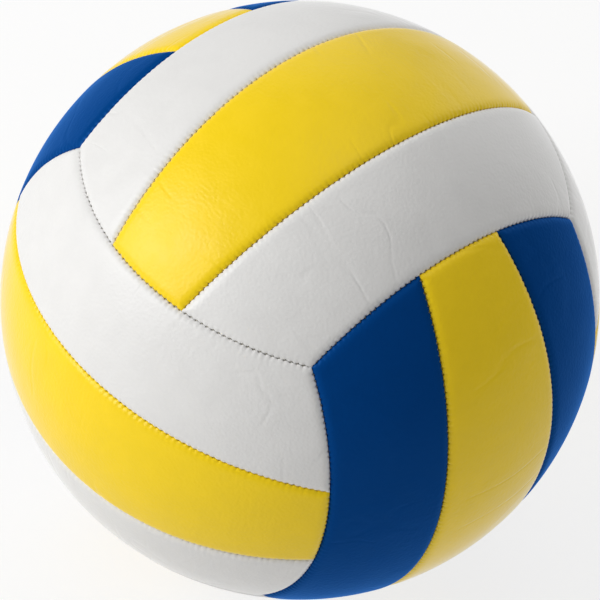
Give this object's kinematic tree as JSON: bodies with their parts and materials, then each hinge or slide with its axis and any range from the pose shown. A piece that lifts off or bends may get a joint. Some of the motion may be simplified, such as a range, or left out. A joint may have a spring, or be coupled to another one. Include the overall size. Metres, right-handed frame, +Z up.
{
  "type": "volleyball",
  "caption": "Inflated sewn sports ball for indoor and beach play: strips of padded leather in crossing groups of three, with a needle valve.",
  "frame": {"origin": "centre of the ball", "axes": "+Z up, with the top group of strips running along Y; +Y out of the valve, in the middle strip of the back group; +X to the right-hand group"},
  "size_m": [0.21, 0.2099, 0.21],
  "materials": {
    "white_leather": "satin grained PVC synthetic leather",
    "yellow_leather": "satin grained PVC synthetic leather",
    "blue_leather": "satin grained PVC synthetic leather",
    "foam": "open-cell foam backing",
    "thread": "twisted polyester sewing thread",
    "bladder_rubber": "smooth butyl rubber",
    "valve_rubber": "moulded matt rubber"
  },
  "bodies": {
    "root": {"back_centre_foam": "foam", "back_centre_panel": "yellow_leather", "back_lower_foam": "foam", "back_lower_panel": "white_leather", "back_strip_threads": "thread", "back_to_left_thread": "thread", "back_to_right_thread": "thread", "back_upper_foam": "foam", "back_upper_panel": "white_leather", "bladder": "bladder_rubber", "bottom_centre_foam": "foam", "bottom_centre_panel": "yellow_leather", "bottom_left_foam": "foam", "bottom_left_panel": "white_leather", "bottom_right_foam": "foam", "bottom_right_panel": "white_leather", "bottom_strip_threads": "thread", "bottom_to_back_thread": "thread", "bottom_to_front_thread": "thread", "front_centre_foam": "foam", "front_centre_panel": "yellow_leather", "front_lower_foam": "foam", "front_lower_panel": "white_leather", "front_strip_threads": "thread", "front_to_left_thread": "thread", "front_to_right_thread": "thread", "front_upper_foam": "foam", "front_upper_panel": "white_leather", "left_back_foam": "foam", "left_back_panel": "blue_leather", "left_centre_foam": "foam", "left_centre_panel": "yellow_leather", "left_front_foam": "foam", "left_front_panel": "blue_leather", "left_strip_threads": "thread", "left_to_bottom_thread": "thread", "left_to_top_thread": "thread", "right_back_foam": "foam", "right_back_panel": "blue_leather", "right_centre_foam": "foam", "right_centre_panel": "yellow_leather", "right_front_foam": "foam", "right_front_panel": "blue_leather", "right_strip_threads": "thread", "right_to_bottom_thread": "thread", "right_to_top_thread": "thread", "top_centre_foam": "foam", "top_centre_panel": "yellow_leather", "top_left_foam": "foam", "top_left_panel": "white_leather", "top_right_foam": "foam", "top_right_panel": "white_leather", "top_strip_threads": "thread", "top_to_back_thread": "thread", "top_to_front_thread": "thread", "valve_core": "valve_rubber", "valve_housing": "valve_rubber", "valve_patch": "bladder_rubber"}
  },
  "joints": []
}
